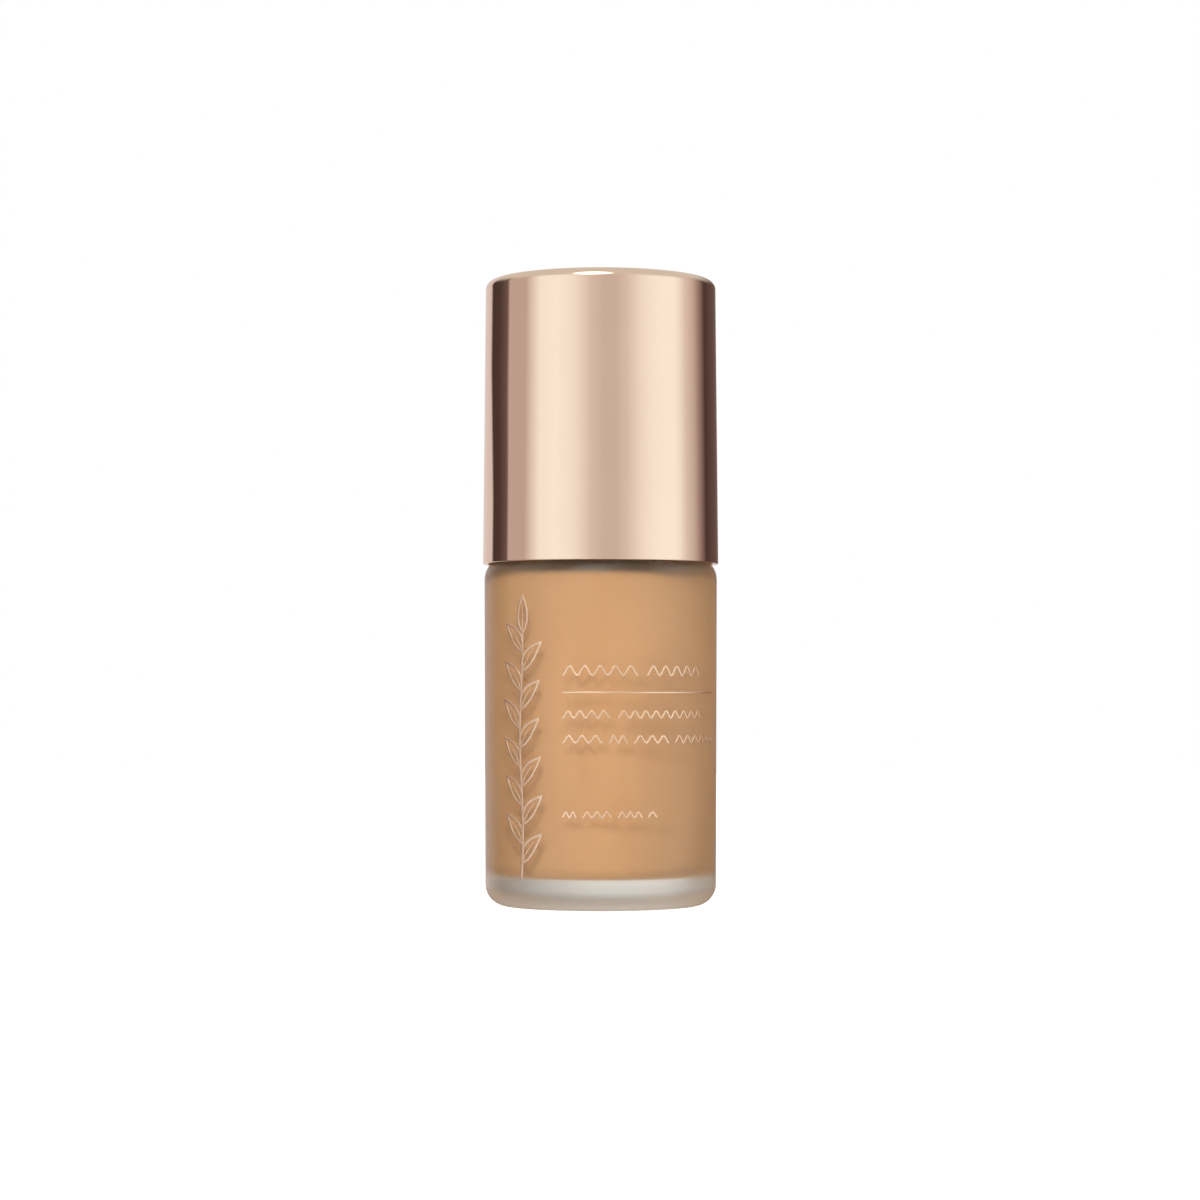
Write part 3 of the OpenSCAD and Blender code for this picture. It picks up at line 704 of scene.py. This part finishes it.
def build_rows():
    """Rows of plain waves, and the rule between them."""
    verts, faces = [], []
    left = MARGIN * ART_R
    for up, height, wave, runs in WAVE_ROWS:
        for start, end in runs:
            count = max(1, round((end - start) / wave))
            n = count * WAVE_STEPS
            line = []
            for i in range(n + 1):
                t = i / n
                crest = 0.5 - 0.5 * math.cos(TAU * count * t)
                line.append((left + (start + (end - start) * t) * MM,
                             RULE_Z + (up + height * crest) * MM))
            stroke(line, [WAVE_LINE] * (n + 1), verts, faces)
    rule = [(left + RULE_L * i / RULE_STEPS, RULE_Z) for i in range(RULE_STEPS + 1)]
    stroke(rule, [RULE_LINE] * (RULE_STEPS + 1), verts, faces)
    rows = mesh_object("foil_wave_rows", verts, faces, SOFT_EDGE)
    finish_piece(rows, ("rows",), "bottle", "foil_bars")


# ---- overcap and collar sleeve ----

CAP_DRAFT = 0.38 * MM           # the cap's top is this much narrower than its rim
CAP_SHELL_T = 0.7 * MM
CAP_TOP_ROUND = 1.3 * MM
CAP_TOP_INNER_ROUND = 0.6 * MM
CAP_RIM_ROUND = 0.15 * MM
CAP_RIM_INNER_ROUND = 0.2 * MM
SLEEVE_T = 0.55 * MM
SLEEVE_LIP_T = 0.6 * MM
SLEEVE_HOLE_R = 6.2 * MM
SLEEVE_TOP_ROUND = 0.8 * MM
SLEEVE_RIM_ROUND = 0.25 * MM
SLEEVE_INNER_ROUND = 0.2 * MM
SLEEVE_RIM_INNER_ROUND = 0.1 * MM


def build_overcap():
    top_r = cap_r - CAP_DRAFT
    profile = outline([
        (cap_r - CAP_SHELL_T, cap_z, CAP_RIM_INNER_ROUND),
        (cap_r, cap_z, CAP_RIM_ROUND),
        (top_r, cap_top_z, CAP_TOP_ROUND),
        (0, cap_top_z),
        (0, cap_top_z - CAP_SHELL_T),
        (top_r - CAP_SHELL_T, cap_top_z - CAP_SHELL_T, CAP_TOP_INNER_ROUND),
    ])
    shell = revolve("overcap_shell", profile, CAP_SEGMENTS, sharp=SOFT_EDGE)
    finish_piece(shell, ("cap",), "overcap", "cap_shell")


def build_sleeve():
    profile = outline([
        (sleeve_r - SLEEVE_T, sleeve_z, SLEEVE_RIM_INNER_ROUND),
        (sleeve_r, sleeve_z, SLEEVE_RIM_ROUND),
        (sleeve_r, sleeve_top_z, SLEEVE_TOP_ROUND),
        (SLEEVE_HOLE_R, sleeve_top_z, SLEEVE_INNER_ROUND),
        (SLEEVE_HOLE_R, sleeve_top_z - SLEEVE_LIP_T),
        (sleeve_r - SLEEVE_T, sleeve_top_z - SLEEVE_LIP_T, SLEEVE_INNER_ROUND),
    ])
    sleeve = revolve("collar_sleeve_metal", profile, SLEEVE_SEGMENTS)
    finish_piece(sleeve, ("trim",), "collar", "collar_sleeve")


# ---- studio ----

# Light round the room: (bearing in degrees from the camera's side, level). A mirror sees these
MIRROR_BANDS = (
    (-180, 0.8), (-142, 0.77), (-137, 0.07), (-121, 0.085), (-111, 0.14), (-106, 0.18), (-103, 0.6),
    (-80, 0.6), (-70, 0.9), (-62, 1.09), (-45, 1.13), (-30, 1.07), (-20, 0.97), (-9, 0.79),
    (4, 0.7), (14, 0.7), (26, 0.8), (40, 1.0), (50, 1.08), (60, 1.12), (78, 1.13), (85, 1.02),
    (93, 0.82), (105, 0.63), (113, 0.4), (119, 0.25), (126, 0.075), (136, 0.11), (152, 0.14),
    (166, 0.2), (180, 0.8),
)
# What frosted glass passes on, from behind it and back to the liquid from in front
PASSED_BANDS = (
    (-180, 0.75), (-160, 0.72), (-142, 0.3), (-95, 0.3), (-50, 0.75), (-14, 0.85), (30, 0.7),
    (60, 1.0), (90, 1.4), (105, 1.0), (118, 0.12), (142, 0.1), (160, 0.4), (180, 0.75),
)
MIRROR_TOP = 1.2                # a ramp holds levels up to 1, so each ring is scaled by its top
PASSED_TOP = 1.8
WHITE_LEVEL = 1.12              # a darker band is warmer than this one
WINDOW = (0.38, -0.86, 0.34)    # direction of the soft light
SOFTBOX = (-0.12, -0.81, 0.57)  # direction of the small bright light in the cap's top edge
LEAN_BEARING = 1.7              # radians to the left, beyond which the dark wall's edge leans
LEAN = 0.22                     # its lean at the lower of these two heights, and none at the upper
LEAN_HEIGHTS = (0.12, 0.06)
OVERHEAD = (0.2, 0.6)           # heights between which the room gives way to the ceiling's light
CEILING_LEVEL = 0.75
SOFT_LEVELS = (0.38, 1.05)      # of the soft light, behind its direction and in it
SOFTBOX_EDGE = (0.94, 0.985)    # cosines of the angles between which it starts
SOFTBOX_LEVEL = 4.0


def build_world():
    world = bpy.data.worlds.new("studio")
    bpy.context.scene.world = world
    world.use_nodes = True
    k = Nodes(world.node_tree)
    k.tree.nodes.clear()
    out = k.node("ShaderNodeOutputWorld")
    ray = k.node("ShaderNodeLightPath").outputs
    way = k.node("ShaderNodeTexCoord").outputs["Generated"]
    split = k.node("ShaderNodeSeparateXYZ")
    k.link(way, split.inputs[0])
    x, y, z = split.outputs
    bearing = k.math("ARCTAN2", x, k.math("MULTIPLY", y, -1))

    # The dark wall's left edge leans, so that its reflection stays upright in the cap
    lean = k.remap(z, 0.0, LEAN, *LEAN_HEIGHTS)
    left = k.math("MINIMUM", k.math("ADD", bearing, LEAN_BEARING), 0.0)
    leant = k.math("ADD", bearing, k.math("MULTIPLY", left, lean))

    def light(colour, strength):
        b = k.node("ShaderNodeBackground")
        for value, socket in zip((colour, strength), b.inputs):
            if isinstance(value, bpy.types.NodeSocket):
                k.link(value, socket)
            else:
                socket.default_value = value
        return b.outputs[0]

    def ring(bands, top, place, green, blue):
        """Light round the room, warmer where it is darker: green and blue fade by these shares."""
        ramp = k.node("ShaderNodeValToRGB")
        elements = ramp.color_ramp.elements
        elements.remove(elements[-1])
        for i, (degrees, level) in enumerate(bands):
            e = elements[0] if i == 0 else elements.new((degrees + 180) / 360)
            c = level / top
            warm = 1 - min(1, level / WHITE_LEVEL)
            e.color = (c, c * (1 - green * warm), c * (1 - blue * warm), 1)
        k.link(k.remap(place, 0, 1, -math.pi, math.pi), ramp.inputs["Fac"])
        return light(ramp.outputs["Color"], top)

    def facing(direction, low, high, start=-1, end=1):
        """A level that runs from low behind the direction to high in it."""
        dot = k.node("ShaderNodeVectorMath", operation="DOT_PRODUCT")
        dot.inputs[1].default_value = direction
        k.link(way, dot.inputs[0])
        return k.remap(dot.outputs["Value"], low, high, start, end)

    plain = light((1, 1, 1, 1), 1.0)
    soft = light((1.0, 0.985, 0.965, 1), facing(WINDOW, *SOFT_LEVELS))
    through = ring(PASSED_BANDS, PASSED_TOP, bearing, 0.05, 0.15)
    overhead = k.remap(z, 0, 1, *OVERHEAD, "SMOOTHSTEP")
    mirror = ring(MIRROR_BANDS, MIRROR_TOP, leant, 0.42, 0.45)
    mirror = k.mix(overhead, mirror, light((1.0, 0.93, 0.88, 1), CEILING_LEVEL))
    box = light((1.0, 0.97, 0.93, 1), SOFTBOX_LEVEL)
    mirror = k.mix(facing(SOFTBOX, 0, 1, *SOFTBOX_EDGE), mirror, box)

    # The camera sees plain white, metal the mirror's room, and glass what it passes on
    seen = k.mix(ray["Is Glossy Ray"], soft, mirror)
    seen = k.mix(ray["Is Transmission Ray"], seen, through)
    seen = k.mix(ray["Is Camera Ray"], seen, plain)
    k.link(seen, out.inputs["Surface"])


FLOOR_R = 0.9
FLOOR_T = 1 * MM
FLOOR_GLOW = 0.8
# The floor's painted glow through glass, each pair with the places between which it runs
# Painted shade: the glow is dimmer to the sides of what lies behind
SHADE_LEVELS = (0.9, 0.2)       # straight behind or in front, and to the sides
SHADE_SIDES = (0.2, 0.58)       # sines of the bearings
SHADE_MIDDLE = 0.12             # the bearings are counted from this far to the left
# Painted light: the glow is brighter under the foot and in front of it
UNDER_PAINTED_LIGHT = (1.2, 0.3)       # under the foot
UNDER_REACH = (10 * MM, 18 * MM)
BEFORE_PAINTED_LIGHT = (1.7, 0)        # in front of the foot
BEFORE_REACH = (-28 * MM, -17 * MM)


def build_floor():
    profile = [(0, -FLOOR_T), (FLOOR_R, -FLOOR_T), (FLOOR_R, 0), (0, 0)]
    floor = revolve("studio_floor", profile, FLOOR_SEGMENTS)
    k = Look("floor_paper", Specular_IOR_Level=0.1, Emission_Color=(1, 1, 1, 1),
             Emission_Strength=FLOOR_GLOW)
    grain = k.noise(400, 3)
    k.tint(grain, (0.44, 0.44, 0.44), (0.46, 0.46, 0.46))
    k.rough(k.remap(grain, 0.7, 0.85))

    # Through glass the floor shows a painted glow, dimmer, with painted shade to the sides of what
    # lies behind
    painted_glow = k.node("ShaderNodeEmission")
    painted_glow.inputs["Color"].default_value = (1.0, 0.95, 0.86, 1)
    x, y = k.place("X"), k.place("Y")
    reach = k.math("SQRT", k.math("ADD", k.math("MULTIPLY", x, x), k.math("MULTIPLY", y, y)))
    aside = k.math("ABSOLUTE", k.math("ADD", k.math("DIVIDE", x, reach), SHADE_MIDDLE))
    behind = k.remap(aside, *SHADE_LEVELS, *SHADE_SIDES)
    # painted light under the foot and in front of it
    under = k.remap(reach, *UNDER_PAINTED_LIGHT, *UNDER_REACH)
    before = k.remap(y, *BEFORE_PAINTED_LIGHT, *BEFORE_REACH)
    level = k.math("MAXIMUM", before, k.math("MAXIMUM", behind, under))
    k.link(level, painted_glow.inputs["Strength"])
    ray = k.node("ShaderNodeLightPath").outputs
    seen = k.mix(ray["Is Transmission Ray"], k.shader.outputs[0], painted_glow.outputs[0])
    k.link(seen, k.tree.nodes["Material Output"].inputs["Surface"])
    floor.data.materials.append(k.mat)
    floor.visible_glossy = False


LIGHTS_AIM = (0, 0, 0.05)


def area(name, place, side, power):
    """A square area light that lights the object but isn't seen in it."""
    data = bpy.data.lights.new(name, "AREA")
    data.shape = "RECTANGLE"
    data.size = data.size_y = side
    data.energy = power
    obj = bpy.data.objects.new(name, data)
    bpy.context.scene.collection.objects.link(obj)
    obj.location = place
    d = [LIGHTS_AIM[i] - place[i] for i in range(3)]
    tilt = math.acos(-d[2] / math.hypot(*d))
    obj.rotation_euler = (tilt, 0, math.atan2(d[0], -d[1]) + math.pi)
    obj.visible_glossy = False
    obj.visible_camera = False
    obj.visible_transmission = False


CAMERA_PLACE = (-0.0001, -0.4688, 0.0301)
CAMERA_TILT = math.radians(1.914)       # upwards from level
CAMERA_LENS = 93.5                      # mm, on a sensor of this width
SENSOR_W = 36
NEAREST = 0.01


def build_camera():
    data = bpy.data.cameras.new("camera")
    data.sensor_width = SENSOR_W
    data.lens = CAMERA_LENS
    data.clip_start = NEAREST
    obj = bpy.data.objects.new("camera", data)
    bpy.context.scene.collection.objects.link(obj)
    obj.location = CAMERA_PLACE
    obj.rotation_euler = (math.pi / 2 + CAMERA_TILT, 0, 0)
    bpy.context.scene.camera = obj


build_camera()
build_glass()
build_liquid()
build_spring()
build_sprig()
build_rows()
build_overcap()
build_sleeve()
dress_nodes()
build_world()
build_floor()
area("key", (-0.19, -0.6, 0.34), 0.12, 2.6)
area("fill", (0.42, 0.42, 0.25), 0.4, 1.6)

view = bpy.context.scene.view_settings
view.view_transform = "Standard"
view.look = "None"
